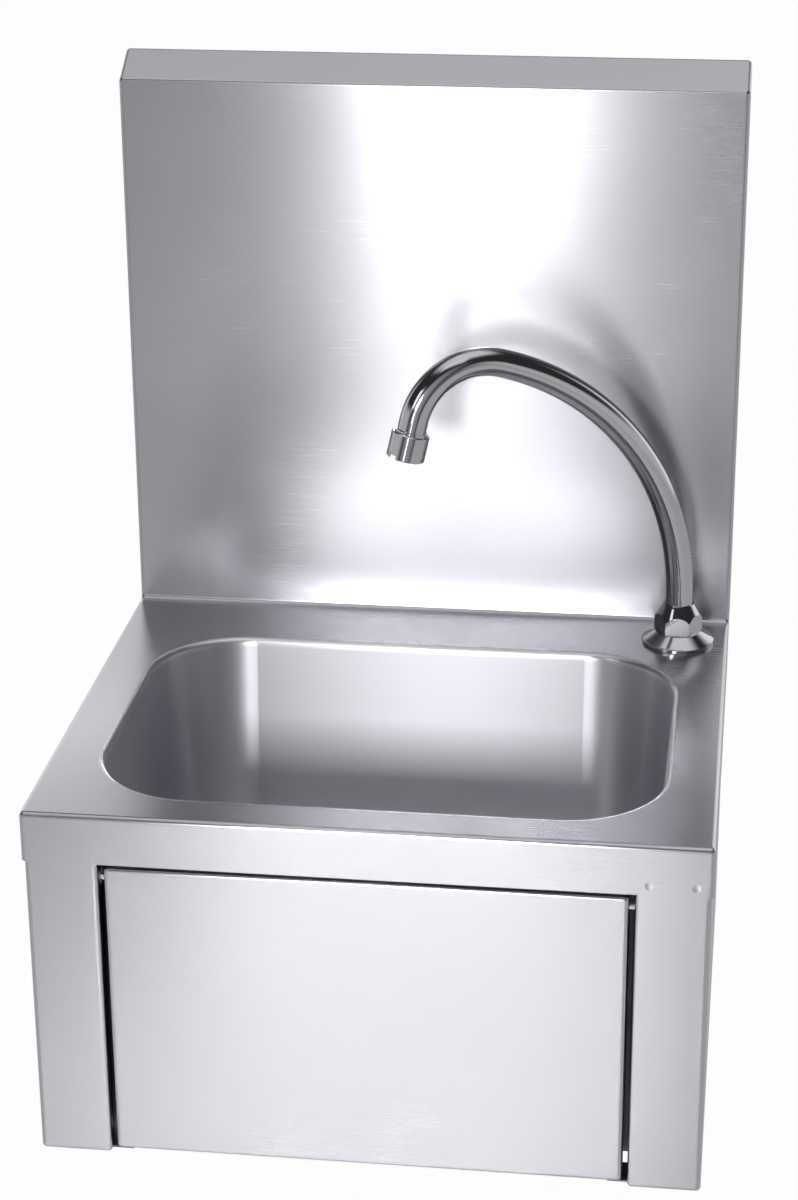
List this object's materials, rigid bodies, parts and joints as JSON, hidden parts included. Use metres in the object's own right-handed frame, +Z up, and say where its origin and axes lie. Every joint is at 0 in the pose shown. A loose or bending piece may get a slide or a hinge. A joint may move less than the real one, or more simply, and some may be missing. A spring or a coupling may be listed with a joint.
{
  "type": "hand wash sink",
  "caption": "Wall-hung stainless steel hand wash basin with a high splashback, a swan-neck spout and a knee-pushed front panel that opens the water.",
  "frame": {"origin": "on the wall plane, midway between the two upper wall screws in the hook rail", "axes": "+Z up, +X to the user's right, +Y into the wall; the user stands on the -Y side"},
  "size_m": [0.4, 0.36, 0.6532],
  "materials": {
    "brushed_sheet": "fine horizontal brushing, lavender-grey",
    "bowl_steel": "satin pressed steel with a polished rim",
    "inner_steel": "plain mill finish, hidden supports",
    "polished_steel": "polished stainless strainer and screws",
    "chrome": "mirror chrome plating",
    "brass": "machined brass",
    "spring_steel": "drawn wire",
    "rubber": "matt black rubber",
    "nylon": "natural nylon",
    "trap_plastic": "white polypropylene",
    "knob_plastic": "black ribbed plastic",
    "insert_plastic": "grey jet insert"
  },
  "bodies": {
    "casing": {"deck_splashback": "brushed_sheet", "basin_bowl": "bowl_steel", "right_side_panel": "brushed_sheet", "left_side_panel": "brushed_sheet", "rear_crossbar": "inner_steel", "valve_crossbar": "inner_steel", "wall_hook_rail": "inner_steel", "splashback_hanger": "inner_steel", "stop_angle": "inner_steel", "stop_buffers": "rubber", "hinge_bushes": "nylon", "valve_body": "brass", "valve_bonnet": "brass", "rod_seal": "rubber", "bonnet_locknut": "brass", "valve_inlet_cap": "brass", "mixer_body": "brass", "inlet_unions": "brass", "check_valves": "nylon", "inlet_filters": "rubber", "mixer_gland_nut": "brass", "mixer_bracket": "inner_steel", "bracket_screws": "polished_steel", "mixer_tube": "chrome", "spout_supply_tube": "chrome", "compression_nuts": "brass", "spout_tail_nut": "brass", "spout_shank": "brass", "deck_gasket": "rubber", "spout_escutcheon": "chrome", "under_deck_washer": "polished_steel", "shank_locknut": "brass", "cone_nut": "chrome", "retaining_ring": "nylon", "drain_strainer": "polished_steel", "strainer_screw": "polished_steel", "drain_gaskets": "rubber", "waste_body": "brass", "trap_nuts": "trap_plastic", "trap_head": "trap_plastic", "trap_cup": "trap_plastic", "trap_outlet_tube": "trap_plastic"},
    "knee_plate": {"knee_panel": "brushed_sheet", "panel_stiffener": "inner_steel", "push_pad": "rubber", "right_hinge_pin": "polished_steel", "left_hinge_pin": "polished_steel", "hinge_nuts": "polished_steel"},
    "valve_plunger": {"plunger_rod": "polished_steel", "plunger_cap": "nylon", "valve_poppet": "rubber", "return_spring": "spring_steel"},
    "swivel_spout": {"spout_tube": "chrome", "swivel_sleeve": "brass", "spout_orings": "rubber", "aerator_housing": "chrome", "aerator_insert": "insert_plastic"},
    "temperature_selector": {"temperature_knob": "knob_plastic", "mixing_spindle": "brass", "knob_screw": "polished_steel"}
  },
  "joints": [
    {"name": "knee_hinge", "type": "hinge", "parent": "casing", "child": "knee_plate", "pos_m": [0, -0.3497, -0.343], "axis": [1, 0, 0], "range_deg": [0, 5]},
    {"name": "plunger_slide", "type": "slide", "parent": "casing", "child": "valve_plunger", "axis": [0, 1, 0], "range_m": [0, 0.013], "stiffness_N_per_m": 2000, "springref_m": -0.015, "deforming": ["return_spring"]},
    {"name": "spout_swivel", "type": "hinge", "parent": "casing", "child": "swivel_spout", "pos_m": [0.167, -0.062, -0.29], "axis": [0, 0, 1], "range_deg": [-20, 70]},
    {"name": "temperature_turn", "type": "hinge", "parent": "casing", "child": "temperature_selector", "pos_m": [0.095, -0.11, -0.525], "axis": [0, 0, 1], "range_deg": [-70, 70]}
  ],
  "couplings": [
    {"joint": "plunger_slide", "follows": "knee_hinge", "m_per_rad": 0.148}
  ]
}
